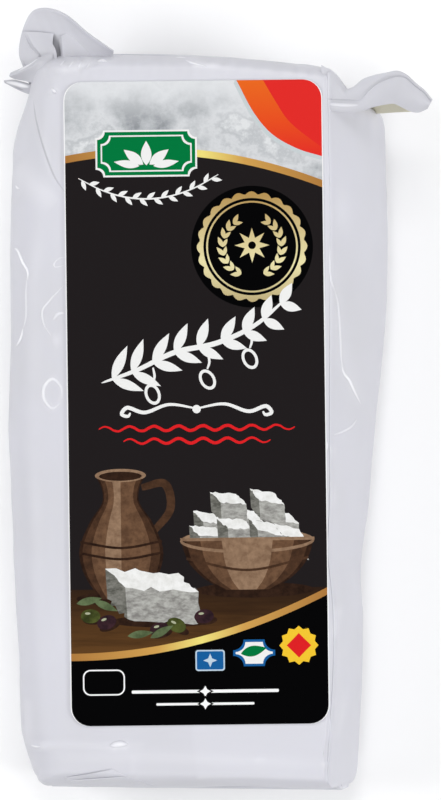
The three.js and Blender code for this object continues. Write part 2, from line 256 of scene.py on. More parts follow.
# Ridges, pointed at both ends: path, height, width
RIDGES = (
    # the right side's bulge: down from the front's edge, over its corner and back
    ([(38.6, 49), (41.7, 23), (45.1, 10.1), (48.3, 4.3)], 0.2, 2.4),
    # the crease from the label up to the left ear
    ([(-46.9, 92), (-45.6, 85), (-43.5, 78), (-39.6, 66), (-37.4, 60)], 0.15, 1.2),
    ([(-51.6, 73.7), (-45.7, 67.1), (-40, 61.4)], -0.5, 3.5),
    # along the foot, and its corners
    ([(-40, -96.6), (-13, -96.2), (12, -97.4), (37, -98.4)], 0.3, 1.6),
    ([(-48, -93.2), (-36, -92.9), (-24, -93.2), (-14, -93)], 0.35, 0.8),
    ([(-17.5, -93.2), (-17.2, -98), (-17, -104)], 0.2, 0.8),
    ([(-48, -80), (-47.7, -87), (-47, -93.4)], 0.35, 1.2),
    ([(43.4, -78), (42.4, -84), (40.2, -91.5)], 0.4, 1.6),
    ([(41.4, -53), (40.6, -58), (39.2, -63)], 0.3, 1.4),
    # along the top
    ([(-41.8, 101), (-37, 100), (-31, 101.6), (-24, 105)], -0.6, 1.1),
    ([(-39.5, 104.4), (-35, 104.8), (-29, 104.6)], 0.5, 0.9),
    ([(-2, 104.6), (-1.4, 103), (3, 101.4), (8, 101.6)], 0.5, 0.8),
    # under the right ear
    ([(37.6, 88.6), (42, 88.2), (46, 87.6)], -0.35, 1.2),
)

# On the ends, which are 1 and -1, as seen from there: across the pack, and height above the floor
END_RIDGES = (
    (1, [(-44, 40), (-30, 33), (-14, 29), (0, 28)], 0.6, 1.3),
    (1, [(-45, 8), (-33, 14), (-20, 18), (-6, 19)], 0.6, 1.3),
    (1, [(36, 40), (26, 31), (12, 27)], 0.6, 1.3),
    (1, [(48, 10), (36, 14), (22, 18)], 0.6, 1.3),
    (-1, [(-40, 38), (-30, 31), (-18, 28)], 0.6, 1.3),
    (-1, [(-42, 7), (-32, 12), (-18, 15)], 0.6, 1.3),
    (-1, [(38, 38), (30, 31), (16, 28)], 0.6, 1.3),
    (-1, [(38, 14), (41, 22), (43, 30)], 1.2, 2.5),
    (-1, [(42, 8), (30, 12), (16, 15)], 0.6, 1.3),
)

BACK_RIDGES = (
    ([(-30, 104), (-10, 60), (2, 20), (4, -30)], 0.35, 2.2),
    ([(4, -30), (3, -60), (10, -100)], 0.35, 2.2),
    ([(-48, 30), (-30, 22), (-12, 20)], 0.3, 2.0),
    ([(46, -40), (30, -34), (16, -34)], 0.3, 2.0),
)

# Bumps: where, half size across and along, height
BUMPS = (
    ((-39.6, 22.6), (1.0, 1.5), 0.5),
    ((38.4, -9), (1.2, 1.6), 0.4),
    ((-23.4, -93.8), (1.1, 0.9), 0.6),
    ((-20.6, -93.5), (1.1, 1.0), 0.6),
    ((-43.6, -93.9), (2.2, 0.7), 0.5),
    ((18.5, -97.4), (1.2, 0.7), 0.4),
    ((37, -98.6), (1.2, 0.7), 0.4),
    ((-40.8, 94.3), (1.2, 0.8), 0.6),
    ((-26.2, 102.9), (1.4, 0.9), 0.6),
    ((41.2, -55), (1.0, 1.4), 0.3),
    ((39.2, -22), (1.1, 3.4), 0.35),
    ((42.5, 60), (2.4, 6), -0.3),
)
RING = Sizes(at=(-40.7, 7.5), size=(2.4, 4.1), height=0.2, width=0.25)
PUCKER = Sizes(pitch=4.6, height=0.35, depth=6, power=0.6, sway=1.5, sway_length=30, seed=4)
SWELLS = ((46, 0.3), (19, 0.1), (8, 0.03))  # length, height
FLAT_ROUND_LABEL = Sizes(folds=2, swells=9)

# Where kinds of relief start and where they are whole: by how far the film faces a way, or its height
FACING_FRONT = (0.05, 0.5)
FACING_AWAY = (0.6, 0.9)
BESIDE = (-0.2, 0.3)
ABOVE_SIDES = (14, 22)
OFF_FLOOR = (0.2, 4)

# Narrow folds, seen from the front: where, how wide and high, and their painted tone: a painted highlight,
# paler than the film, above 0, and painted shade, darker, below 0
CREASES = (
    # the left side's bracket, with a painted highlight, brightest where it bends
    ([(-51.9, 49.4), (-51, 48.6), (-49.4, 45.1), (-48, 42.6), (-47.9, 40)], 0.85, 0.26, 0.9),
    ([(-48, 41.6), (-48.4, 37.1), (-48.5, 29.1), (-49.4, 25.7)], 0.6, 0.1, 0.4),
    ([(-49.2, 26.4), (-50, 23.4), (-51.2, 21.2)], 0.75, 0.2, 0.8),
    # between the left side and the label, with painted highlights
    ([(-37.4, 38.6), (-41.4, 34.3), (-43.7, 31.1), (-43.1, 27.1), (-40.9, 23.7)], 0.7, 0.13, 0.45),
    ([(-37, 46.6), (-39.1, 46), (-40.3, 44.6), (-40, 43.7), (-37.1, 44.3)], 0.6, 0.12, 0.35),
    ([(-40.5, 28.6), (-39.1, 30.3), (-37.2, 30.6)], 1.1, 0.16, 0.4),
    ([(-38.3, 5), (-40.7, 3.3), (-43.1, 6), (-43, 9.6), (-40.7, 11.7), (-38.4, 9.6), (-38, 6)],
     1.2, 0.1, 0.5),
    # the right side's bulge: down from the front's edge, over its corner, and back below, with painted
    # highlights
    ([(38.6, 50.9), (38.5, 44.5), (39, 39.7), (40.4, 36.1)], 0.9, 0.12, 0.4),
    ([(39.6, 38), (40.7, 34.6), (41.2, 30.9), (41.8, 21.3), (42.2, 15.7), (43.2, 12.9)], 0.8, 0.13, 0.45),
    ([(42, 16), (42.8, 13.4), (44.4, 11.4), (46, 8.2), (48, 4.5)], 1.0, 0.22, 0.8),
    ([(46.9, 0.4), (45.2, -1.9), (42.4, -3.4), (39.4, -4.4)], 0.8, 0.13, 0.4),
    ([(37.6, -6), (37.8, -7.4), (37.6, -9)], 0.9, 0.2, 0.5),
    # near the foot, with painted highlights
    ([(-24.2, -93), (-21.7, -92.6), (-19.2, -92.6)], 1.9, 0.4, 0.6),
    ([(-47, -93.4), (-45.5, -93.6), (-44.2, -93.4)], 0.9, 0.25, 0.5),
    # along the top, with painted highlights
    ([(-5.7, 103.8), (-3.8, 103.9), (-2.3, 103.6)], 0.7, 0.12, 0.4),
    ([(-2.9, 103), (-1.4, 102.4), (1, 101.6), (3.4, 101)], 0.8, 0.16, 0.5),
    ([(-41, 94.9), (-40.3, 94), (-39.6, 93.6)], 1.0, 0.3, 0.6),
    ([(-28, 102.6), (-26.6, 103), (-25.2, 102.6)], 1.0, 0.25, 0.6),
    ([(-38.6, 101.4), (-37.2, 103.2)], 0.5, 0.1, 0.35),
    ([(-36.2, 100.7), (-34.7, 102.8)], 0.5, 0.1, 0.35),
    ([(-33.8, 100.4), (-32.2, 102.7)], 0.5, 0.1, 0.3),
    ([(-31.3, 100.4), (-29.8, 102.4)], 0.5, 0.1, 0.3),
    # the fold from the left ear to the label, with painted shade, and a painted highlight on the side
    ([(-46.4, 91.7), (-45.3, 84.9), (-40.4, 70.1), (-36.9, 64.6)], 0.6, 0.1, -0.35),
    ([(-51.7, 67.5), (-51.2, 66.8), (-50.4, 66.3)], 0.7, 0.15, 0.6),
    # the tip's upper side with a painted highlight, and its lower edge with painted shade
    ([(-54.6, 97.5), (-52.3, 97.1), (-50, 96.5), (-48, 96)], 1.3, 0.1, 1.2),
    ([(-52.4, 96.3), (-50.6, 95.6), (-49.4, 95.2)], 0.6, 0.1, -0.5),
    # the pleat's strip with a painted highlight, and the hood's rim with painted shade
    ([(-45.3, 103.7), (-48, 101.9), (-51, 100.2)], 0.7, 0.1, 0.45),
    ([(-49.6, 112.6), (-46.6, 117.2), (-43, 117.9), (-37.9, 116.3), (-31, 110.7), (-24.6, 106.2)],
     0.7, 0.05, -0.12),
    # across the lobe, with painted shade
    ([(-49.4, 111.8), (-47.6, 107.8), (-45.2, 104.8)], 0.5, 0.1, -0.35),
    # across the right ear's root, with painted shade, and the strip below with a painted highlight
    ([(37.8, 91.8), (42, 91.7), (46.8, 91.8)], 0.6, 0.1, -0.45),
    ([(37.8, 90.4), (42, 90.2), (46.8, 90.3)], 1.2, 0.1, 0.3),
)
# Painted highlight on the film body: how much paler it is along its folds, and along the edge between the
# front and the right side
CREASE_HIGHLIGHT = 0.35
EDGE_HIGHLIGHT = 0.16
EDGE_FACES = 0.86  # how far the edge between the front and the right side faces the front, and within what
EDGE_SPREAD = 0.08
CREASE_GRID = Sizes(along=90, across=9, sunk=0.06, sheet=0.1, narrowest=0.1)

# Folds of film that lie on the block: the edge sunk into it, the edge that stands off, and by how much
LAID_FOLDS = (
    ([(-36.6, -104.4), (-28, -104.7), (-20, -104.8), (-12, -104.9)],
     [(-37, -102.4), (-32.5, -101.6), (-28, -100.7), (-23.7, -99.8)], 0.6),
    ([(-35, -103.8), (-30, -103.9), (-24, -104), (-18, -104.1)],
     [(-36, -103.4), (-31, -102.9), (-25, -102.4), (-19.2, -101.8)], 0.9),
)


def label_place(xy):
    """Places on the front in the label's own square frame."""
    return turned(xy - (LABEL.x, LABEL.y), -LABEL_TURN)


def beyond_label(xy):
    """How far outside the label a place on the front lies."""
    own = np.abs(label_place(xy))
    past = np.maximum(own - [LABEL.width / 2, LABEL.length / 2], 0)
    return np.linalg.norm(past, axis=1)


def raised(places, path, height, width):
    """How far a ridge, pointed at both ends, lifts each place."""
    distance, along = distance_to_path(places, path)
    taper = np.clip(np.sin(math.pi * along), 0, 1) ** 0.4
    return height * taper * np.exp(-(distance / width) ** 2)


def relief(points, normals):
    """How far the film stands out from the block's form, and its painted highlight: paler along its folds and
    along the edge between the front and the right side.
    """
    front = points[:, :2]
    facing = smoothstep(normals[:, 2], *FACING_FRONT) * smoothstep(points[:, 2], *ABOVE_SIDES)
    folds = np.zeros(len(points))
    for ridge in RIDGES:
        folds += raised(front, *ridge) * facing
    for at, size, height in BUMPS:
        distance = np.linalg.norm((front - at) / size, axis=1)
        folds += height * np.exp(-distance ** 2) * facing
    around = np.linalg.norm((front - RING.at) / RING.size, axis=1)
    folds += RING.height * np.exp(-((around - 1) / RING.width) ** 2) * facing
    for end, *ridge in END_RIDGES:
        facing_end = smoothstep(end * normals[:, 1], *FACING_AWAY)
        folds += raised(points[:, [0, 2]], *ridge) * facing_end
    facing_back = smoothstep(-normals[:, 2], *FACING_AWAY)
    for ridge in BACK_RIDGES:
        folds += raised(front, *ridge) * facing_back
    from_top = top_edge(points[:, 0]) - points[:, 1]
    sway = PUCKER.sway * waves(points, PUCKER.sway_length, PUCKER.seed)
    gather = np.abs(np.sin(math.pi * points[:, 0] / PUCKER.pitch + sway))
    folds += PUCKER.height * (gather ** PUCKER.power - 0.5) * hump(from_top, PUCKER.depth) * facing
    swell = sum(height * waves(points, length, seed) for seed, (length, height) in enumerate(SWELLS, 1))
    beside = 1 - smoothstep(normals[:, 2], *BESIDE)
    past = beyond_label(front)
    folds *= np.maximum(beside, smoothstep(past, 0, FLAT_ROUND_LABEL.folds))
    swell *= np.maximum(beside, smoothstep(past, 0, FLAT_ROUND_LABEL.swells))
    # painted highlight along the edge where the front turns into the right side
    edge = EDGE_HIGHLIGHT * hump(normals[:, 2] - EDGE_FACES, EDGE_SPREAD) * (points[:, 0] > 0) * facing
    return swell + folds, CREASE_HIGHLIGHT * np.abs(folds) + edge


def cube_grid(steps):
    """The points and faces of a cube's surface, cut at the given places along each side."""
    sizes = [len(s) for s in steps]
    lattice = []
    faces = []
    for axis in range(3):
        u, v = (axis + 1) % 3, (axis + 2) % 3
        for side in (0, 1):
            i, j = np.meshgrid(np.arange(sizes[u]), np.arange(sizes[v]), indexing="ij")
            index = np.zeros(i.shape + (3,), int)
            index[..., u], index[..., v] = i, j
            index[..., axis] = side * (sizes[axis] - 1)
            key = (index[..., 0] * sizes[1] + index[..., 1]) * sizes[2] + index[..., 2]
            quads = [key[:-1, :-1], key[1:, :-1], key[1:, 1:], key[:-1, 1:]]
            if side == 0:
                quads.reverse()
            lattice.append(key.ravel())
            faces.append(np.stack([q.ravel() for q in quads], axis=1))
    keys = np.unique(np.concatenate(lattice))
    faces = np.searchsorted(keys, np.concatenate(faces))
    index = np.stack([keys // (sizes[1] * sizes[2]), keys // sizes[2] % sizes[1], keys % sizes[2]], axis=1)
    points = np.stack([np.asarray(steps[a])[index[:, a]] for a in range(3)], axis=1)
    return points, faces


def vertex_normals(points, faces):
    a, b, c, d = (points[faces[:, k]] for k in range(4))
    flat = np.cross(c - a, d - b)
    normals = np.zeros_like(points)
    for k in range(4):
        np.add.at(normals, faces[:, k], flat)
    return normals / (np.linalg.norm(normals, axis=1, keepdims=True) + 1e-12)


# Steps of the film's grid, close together beside the label and further apart under it
FILM_GRID = Sizes(under_label=(-0.85, 0.66), left=14, under=36, right=30, along=207, deep=39,
                  side_rounding=14, end_rounding=10)


def with_round_ends(flat, count):
    """Steps over the flat stretch, and on to 1 and -1 over the rounded edges."""
    rounded = np.linspace(flat[-1], 1, count + 1)[1:]
    return np.concatenate([-rounded[::-1], flat, rounded])


def film_shape():
    width, length, depth = FLAT_SHARE
    left, right = (share * width for share in FILM_GRID.under_label)
    across = np.concatenate([
        np.linspace(-width, left, FILM_GRID.left, endpoint=False),
        np.linspace(left, right, FILM_GRID.under, endpoint=False),
        np.linspace(right, width, FILM_GRID.right),
    ])
    grid, faces = cube_grid([
        with_round_ends(across, FILM_GRID.side_rounding),
        with_round_ends(np.linspace(-length, length, FILM_GRID.along), FILM_GRID.end_rounding),
        with_round_ends(np.linspace(-depth, depth, FILM_GRID.deep), FILM_GRID.side_rounding),
    ])
    points = soft_block(rounded_block(grid))
    normals = vertex_normals(points, faces)
    height, painted_light = relief(points, normals)
    height *= smoothstep(points[:, 2], *OFF_FLOOR)
    return points + normals * height[:, None], faces, painted_light


def height_finder(points, faces):
    """A function that gives the film's height at places seen from the front."""
    tree = BVHTree.FromPolygons(points.tolist(), faces.tolist())
    down = Vector((0, 0, -1))

    def heights(places):
        hits = [tree.ray_cast(Vector((x, y, 2 * THICKNESS)), down)[0] for x, y in places.reshape(-1, 2)]
        return np.array([hit.z for hit in hits]).reshape(places.shape[:-1])
    return heights


def along_path(path, count):
    """Places along a path, and the direction across it at each."""
    t = np.linspace(0, 1, count)
    line = spline(path, t)
    run = np.gradient(line, axis=0)
    across = np.stack([-run[:, 1], run[:, 0]], axis=1) / np.linalg.norm(run, axis=1, keepdims=True)
    return t, line, across


def crease_shape(path, width, height, painted_tone, heights):
    """A narrow fold that stands a little above the film, with its borders sunk into it, and its painted tone:
    painted highlight where above 0, painted shade where below.
    """
    t, line, across = along_path(path, CREASE_GRID.along)
    share = np.linspace(-1, 1, CREASE_GRID.across)
    taper = lerp(CREASE_GRID.narrowest, 1, np.sin(math.pi * t) ** 0.5)[:, None]
    places = line[:, None] + across[:, None] * (0.5 * width * taper * share)[..., None]
    lift = height * taper * (1 - share ** 2) - CREASE_GRID.sunk
    painted_tones = np.tile((painted_tone * taper * (1 - share ** 2)).ravel(), 2)
    return (*sheet_shape(np.dstack([places, heights(places) + lift]), CREASE_GRID.sheet), painted_tones)


def laid_fold_shape(sunk, off, lift, heights):
    """A fold that lies on the film, one edge sunk into it and the other standing off."""
    a = np.linspace(0, 1, 60)
    b = np.linspace(0, 1, 12)[:, None]
    places = lerp(spline(sunk, a)[:, None], spline(off, a)[:, None], b)
    lift = lerp(-SHEET, lift, b[:, 0]) * np.sin(math.pi * a)[:, None] ** 0.4
    return sheet_shape(np.dstack([places, heights(places) + lift]), SHEET / 2)


# Sheets of film

def sheet_shape(middle, thickness):
    """A closed sheet from its middle surface, a grid of points."""
    rows, columns = middle.shape[:2]
    normal = np.cross(np.gradient(middle, axis=0), np.gradient(middle, axis=1))
    normal /= np.linalg.norm(normal, axis=2, keepdims=True) + 1e-12
    points = np.concatenate([(middle + side * thickness * normal).reshape(-1, 3) for side in (0.5, -0.5)])
    key = np.arange(rows * columns).reshape(rows, columns)
    back = key + rows * columns
    quads = [
        np.stack([key[:-1, :-1], key[1:, :-1], key[1:, 1:], key[:-1, 1:]], axis=-1).reshape(-1, 4),
        np.stack([back[:-1, :-1], back[:-1, 1:], back[1:, 1:], back[1:, :-1]], axis=-1).reshape(-1, 4),
    ]
    loop = np.concatenate([key[:-1, 0], key[-1, :-1], key[:0:-1, -1], key[0, :0:-1]])
    after = np.roll(loop, -1)
    quads.append(np.stack([loop, loop + rows * columns, after + rows * columns, after], axis=1))
    return points, np.concatenate(quads)


def joined(shapes):
    points, faces, start = [], [], 0
    for shape_points, shape_faces, *_ in shapes:
        points.append(shape_points)
        faces.append(shape_faces + start)
        start += len(shape_points)
    return np.concatenate(points), np.concatenate(faces)


def pleated(rims, bulge, steps_a=120, steps_b=24):
    """A middle surface drawn straight from each rim to the next."""
    a = np.linspace(0, 1, steps_a + 1)
    curves = [spline(rim, a) for rim in rims]
    rows = []
    for k, (low, high) in enumerate(zip(curves[:-1], curves[1:])):
        last = k == len(curves) - 2
        for b in np.linspace(0, 1, steps_b + 1)[: None if last else -1]:
            row = lerp(low, high, b)
            row[:, 2] += bulge * math.sin(math.pi * b)
            rows.append(row)
    return np.stack(rows, axis=1)


def crumpled(middle, seed, amount):
    flat = middle.reshape(-1, 3)
    moved = flat.copy()
    for k, (length, share) in enumerate(CRINKLES):
        moved[:, 2] += share * amount * waves(flat, length, seed + k)
    return moved.reshape(middle.shape)


HOOD = (
    [(-48, 97, 33), (-36, 99, 35), (-24, 102, 38)],
    [(-49.2, 101.6, 36), (-50.7, 105.6, 35), (-49.5, 113.4, 35), (-46.8, 117.9, 36), (-43, 118.6, 37),
     (-37.8, 117, 38), (-30.9, 111.3, 39), (-23.5, 106, 40)],
)
LOBE = (
    [(-49.8, 112, 35.2), (-50.6, 108.2, 35), (-50.7, 105.3, 35), (-49.4, 101.4, 35)],
    [(-49.3, 111.9, 35.4), (-47.6, 107.9, 37.2), (-45.3, 104.9, 38.2), (-44.2, 102, 38.5)],
    [(-48.8, 111.9, 35.4), (-46.8, 107.9, 36.6), (-44.5, 104.9, 37.4), (-43.4, 102, 38)],
    [(-45.2, 111.7, 35.4), (-43.8, 109, 36.6), (-42.6, 106, 37.8), (-42, 102, 39.5)],
    [(-40.8, 111.3, 35.6), (-41, 108.2, 37.2), (-40.1, 106.4, 38.3), (-39.5, 102, 39.6)],
)
POCKET = (
    [(-38.9, 110.6, 35.6), (-39, 108.8, 36), (-38.8, 106.8, 36.4), (-38.4, 104, 37.8)],
    [(-38.5, 110.6, 36.2), (-38.2, 108.8, 37.2), (-38, 106.8, 37.9), (-37.8, 104, 38.8)],
    [(-35.5, 112, 35.6), (-33.4, 109.5, 36), (-31.6, 107, 36.4), (-30, 104, 36.8)],
)
TUCK = (
    [(-41, 105.2, 39), (-43, 104.6, 39.2), (-44.9, 103.9, 39.4), (-46.8, 102.6, 39), (-49.9, 101.1, 38),
     (-53.1, 99.8, 37)],
    [(-41, 103.6, 39.6), (-43, 103.2, 40.2), (-44.8, 102.8, 40.4), (-46.6, 101.6, 40.2),
     (-49.5, 100.2, 39.4), (-53.4, 98.9, 37.6)],
    [(-41, 101.4, 42), (-42.6, 100.4, 41.4), (-44.6, 98.9, 40), (-46.6, 97.2, 37.8), (-49, 97.8, 36.6),
     (-52, 98.4, 36.4)],
)
SPIKE = (
    [(-55.2, 97.8, 35), (-52.5, 98, 35), (-49.5, 97.3, 35), (-46, 96, 36)],
    [(-54.9, 97.4, 34.4), (-52.3, 96, 33.4), (-49.8, 94.9, 32.6), (-46, 93.5, 33)],
)
FLAP = (
    [(36.2, 88.6, 43.8), (39, 88.5, 43.6), (41.2, 88.4, 43), (43.3, 88.4, 42.2), (45.3, 88.4, 41.4),
     (48, 88.9, 40.6), (51, 89.9, 39.8), (54.5, 90.7, 39), (57.2, 91, 38.2), (59.4, 90.1, 37.2),
     (62, 89, 35.8), (64.4, 88.8, 34.8), (67, 90, 33.8)],
    [(36.2, 91.6, 43.8), (39, 91.6, 43.6), (41.2, 91.6, 42.8), (43.3, 91.6, 42), (45.3, 91.6, 41.4),
     (47.6, 92, 40.8), (49.6, 94.2, 41), (52.4, 96.6, 41.5), (57, 98.4, 41.6), (60, 98.4, 40.8),
     (63.4, 96, 38), (66.1, 94.2, 35.7), (68.2, 92, 34)],
    [(36.2, 101.6, 43), (39, 99.9, 43.4), (41.2, 97.7, 43), (43.3, 94.9, 41.9), (45.3, 95.4, 41.8),
     (48, 97.6, 42), (51, 98.7, 42.4), (54.5, 99.4, 42.8), (57.8, 100, 42.4), (60.2, 99.2, 41.2),
     (63.5, 96.7, 38.4), (66.2, 94.7, 36), (68.3, 92.3, 34.2)],
)
UNDER_FLAP = (
    [(50, 90, 14), (54.6, 89.6, 20), (58.1, 89.4, 26), (60.7, 89.2, 30), (63.4, 89.1, 32.6),
     (65.6, 89.6, 33.6)],
    [(50, 92, 17), (54.2, 93, 24), (57.5, 94, 29), (60.5, 94, 32.4), (63.6, 93.4, 34), (66.4, 92.4, 34.4)],
)

CRINKLES = ((11, 1), (4.5, 0.4))  # length, share

# Each ear's pieces: rims, how far the middle of each pleat stands out, and how crinkled it is
EARS = {
    "film_left_ear": [(HOOD, -1, 0.15), (LOBE, 0, 0.06), (POCKET, 0, 0), (TUCK, 0, 0.06), (SPIKE, 0, 0)],
    "film_right_ear": [(FLAP, 0.6, 0.08)],
    "film_right_ear_inner": [(UNDER_FLAP, -0.5, 0.1)],
}

# Seals, pressed bands on the block's ends: which end, places across and up as shares of it from -1 to 1, and
# how far they stand out
SEALS = ((1, (-0.8, 0.8), (-0.04, 0.3), 0.5), (-1, (-0.72, 0.8), (-0.12, 0.22), 0.7))
SEAL_RIBS = Sizes(count=9, height=0.1, sunk=0.5, border=0.14)


def seal_shape(end, across, up, proud):
    """A band that lies on the block's end, ribbed along it, with its borders sunk into the film."""
    a, b = np.meshgrid(np.linspace(0, 1, 240), np.linspace(0, 1, 64), indexing="ij")
    grid = np.stack([lerp(*across, a), np.full_like(a, end), lerp(*up, b)], axis=-1)
    face = soft_block(rounded_block(grid.reshape(-1, 3))).reshape(grid.shape)
    from_border = np.minimum.reduce([a * 8, (1 - a) * 8, b, 1 - b])
    shelf = smoothstep(from_border, 0, SEAL_RIBS.border)
    ribs = SEAL_RIBS.height * np.sin(2 * math.pi * SEAL_RIBS.count * b)
    face[..., 1] += end * lerp(-SEAL_RIBS.sunk, proud + ribs, shelf)
    return sheet_shape(face, SHEET / 2)


# Materials

def linear(*rgb):
    """A colour as a screen shows it, 0 to 255, as the linear values that a shader takes."""
    share = np.array(rgb) / 255
    return tuple(np.where(share <= 0.04045, share / 12.92, ((share + 0.055) / 1.055) ** 2.4).tolist())


def ink(*rgb):
    """A printed colour, a little deeper than it looks under the bright lights."""
    return tuple(INK_DEPTH * value for value in linear(*rgb))


def set_input(tree, socket, value):
    """Link a socket to another node's output, or give it a value of its own."""
    if isinstance(value, bpy.types.NodeSocket):
        tree.links.new(value, socket)
    elif socket.type == "RGBA":
        socket.default_value = (*value, 1)
    else:
        socket.default_value = value


def set_inputs(tree, node, **values):
    """Set or link a node's inputs, named with underscores for spaces."""
    for name, value in values.items():
        set_input(tree, node.inputs[name.replace("_", " ")], value)
    return node


def new_node(tree, kind, **values):
    return set_inputs(tree, tree.nodes.new("ShaderNode" + kind), **values)


def new_material(name):
    material = bpy.data.materials.new(name)
    material.use_nodes = True
    tree = material.node_tree
    return material, tree, tree.nodes["Principled BSDF"]


def noise(tree, scale, detail=3, roughness=0.5, stretch=(1, 1, 1)):
    place = new_node(tree, "TexCoord").outputs["Object"]
    stretched = new_node(tree, "Mapping", Vector=place, Scale=stretch).outputs["Vector"]
    made = new_node(tree, "TexNoise", Vector=stretched, Scale=scale, Detail=detail, Roughness=roughness)
    return made.outputs["Fac"]


def stretch_of_pack(tree, axis, start, end):
    """From 0 to 1 over a stretch of the pack, in millimetres along an axis."""
    place = new_node(tree, "TexCoord").outputs["Object"]
    along = new_node(tree, "SeparateXYZ", Vector=place).outputs[axis]
    low, high = ((edge + SHIFT["XYZ".index(axis)]) * MM for edge in (start, end))
    return new_node(tree, "MapRange", Value=along, From_Min=low, From_Max=high).outputs["Result"]


def ramp(tree, source, *stops):
    """Colours, or greys, at places from 0 to 1 along a source's values."""
    made = new_node(tree, "ValToRGB", Fac=source)
    elements = made.color_ramp.elements
    for element, (position, *_) in zip(elements, (stops[0], stops[-1])):
        element.position = position
    for position, *_ in stops[1:-1]:
        elements.new(position)
    for element, (_, *colour) in zip(elements, stops):
        element.color = (*(colour * 3)[:3], 1)
    return made.outputs["Color"]


def ink_ramp(tree, source, *stops):
    return ramp(tree, source, *[(position, *ink(*rgb)) for position, *rgb in stops])


def mix(tree, share, first, second):
    made = new_node(tree, "Mix", Factor=share)
    made.data_type = "RGBA"
    for socket, colour in zip((i for i in made.inputs if i.type == "RGBA"), (first, second)):
        set_input(tree, socket, colour)
    return next(output for output in made.outputs if output.type == "RGBA")


def bump(tree, source, strength, distance):
    return new_node(tree, "Bump", Height=source, Strength=strength, Distance=distance).outputs["Normal"]


def film_material(name, low, high):
    """Satin white shrink film in uneven patches, faintly crinkled, paler where a painted highlight runs along
    its creases and darker where painted shade does.
    """
    material, tree, shader = new_material(name)
    patches = ramp(tree, noise(tree, 24, 2), (0.3, *low), (0.7, *high))
    fold = new_node(tree, "Attribute")
    fold.attribute_name = PAINTED_LIGHT_ATTRIBUTE
    # painted shade: darker where the attribute is below 0
    painted_shade_share = new_node(tree, "Math")
    painted_shade_share.operation = "MULTIPLY"
    painted_shade_share.inputs[1].default_value = -1
    tree.links.new(fold.outputs["Fac"], painted_shade_share.inputs[0])
    # painted highlight: paler where the attribute is above 0
    pale = mix(tree, fold.outputs["Fac"], patches, PAINTED_HIGHLIGHT_COLOUR)
    set_inputs(tree, shader,
               Base_Color=mix(tree, painted_shade_share.outputs["Value"], pale, PAINTED_SHADE_COLOUR),
               Roughness=ramp(tree, noise(tree, 60, 2), (0.3, 0.4), (0.7, 0.52)),
               Normal=bump(tree, noise(tree, 150, 2, 0.4), 0.1, 0.0005),
               Specular_IOR_Level=0.35, Subsurface_Weight=0.1, Subsurface_Radius=(0.003, 0.003, 0.004))
    return material


def ink_material(name, colour):
    """Printed ink on satin paper. A colour is plain, or a function that makes it from nodes."""
    material, tree, shader = new_material(name)
    set_inputs(tree, shader, Base_Color=colour(tree) if callable(colour) else ink(*colour),
               Roughness=0.6, Specular_IOR_Level=0.02, Normal=bump(tree, noise(tree, 900, 2), 0.05, 0.0001))
    return material


def gold(tree):
    """Gold bands are brightest in their middle."""
    dark, plain, bright = (176, 122, 62), (214, 164, 84), (246, 230, 128)
    return ink_ramp(tree, stretch_of_pack(tree, "X", -37, 38),
                    (0, *dark), (0.35, *plain), (0.52, *bright), (0.68, *plain), (1, *dark))


def pale_gold(tree):
    return ink_ramp(tree, stretch_of_pack(tree, "Y", 26, 64),
                    (0, 150, 118, 66), (0.5, 240, 230, 176), (1, 186, 150, 88))


def mottled_grey(tree):
    """Cloudy pale greys, nearly white towards the label's top edge."""
    clouds = ink_ramp(tree, noise(tree, 52, 9, 0.66, (1, 1.1, 1)),
                      (0.36, 150, 154, 158), (0.46, 196, 199, 202), (0.54, 222, 224, 226),
                      (0.6, 196, 199, 202), (0.66, 232, 234, 235))
    height = ramp(tree, stretch_of_pack(tree, "Y", 78, 97), (0.3, 0), (0.9, 0.8))
    return mix(tree, height, clouds, ink(234, 236, 238))


def orange_to_red(tree):
    return ink_ramp(tree, stretch_of_pack(tree, "Y", 76, 96),
                    (0, 234, 48, 40), (0.45, 238, 80, 34), (1, 240, 106, 34))


def table_wood(tree):
    """Brown boards, lighter towards the front, with a grain along them."""
    boards = ink_ramp(tree, stretch_of_pack(tree, "Y", -66, -48), (0, 98, 66, 34), (1, 48, 32, 22))
    streaks = ramp(tree, noise(tree, 140, 4, 0.6, (0.25, 3, 1)), (0.45, 0), (0.7, 0.6))
    return mix(tree, streaks, boards, ink(44, 28, 18))


def mottled(dark, light, scale, stretch=(1, 1, 1)):
    return lambda tree: ink_ramp(tree, noise(tree, scale, 4, 0.65, stretch), (0.36, *dark), (0.64, *light))


INKS = {
    "black": (33, 29, 30),
    "jet": (2, 2, 3),
    "white": (246, 246, 244),
    "paper": (255, 255, 255),
    "grey_field": mottled_grey,
    "gold": gold,
    "pale_gold": pale_gold,
    "silver": (206, 214, 216),
    "orange": orange_to_red,
    "red": (232, 46, 42),
    "red_line": (228, 34, 38),
    "green": (0, 122, 62),
    "table": table_wood,
    "clay_dark": mottled((38, 24, 17), (58, 38, 27), 420),
    "clay_deep": mottled((62, 42, 30), (84, 58, 41), 420),
    "clay": mottled((92, 66, 48), (118, 87, 64), 420),
    "clay_pale": mottled((128, 100, 78), (158, 128, 102), 420),
    "cheese": mottled((232, 232, 228), (250, 250, 248), 500),
    "cheese_side": mottled((136, 134, 130), (188, 188, 182), 420, (1, 2, 1)),
    "cheese_shade": mottled((88, 88, 81), (134, 133, 126), 420, (1, 2, 1)),
    "olive": mottled((52, 58, 28), (84, 92, 44), 300),
    "olive_dark": mottled((40, 26, 32), (64, 40, 46), 300),
    "shine": (176, 180, 150),
    "leaf": mottled((74, 88, 58), (104, 120, 84), 300),
    "blue": (24, 96, 160),
    "pale_blue": (196, 216, 232),
    "yellow": (250, 204, 52),
}


# The label's print, in the label's own millimetres. Shapes are painted in order, the later over the earlier.

def round_ring(x, y, reach, angle):
    return np.stack([x + reach * np.cos(angle), y + reach * np.sin(angle)], axis=1)


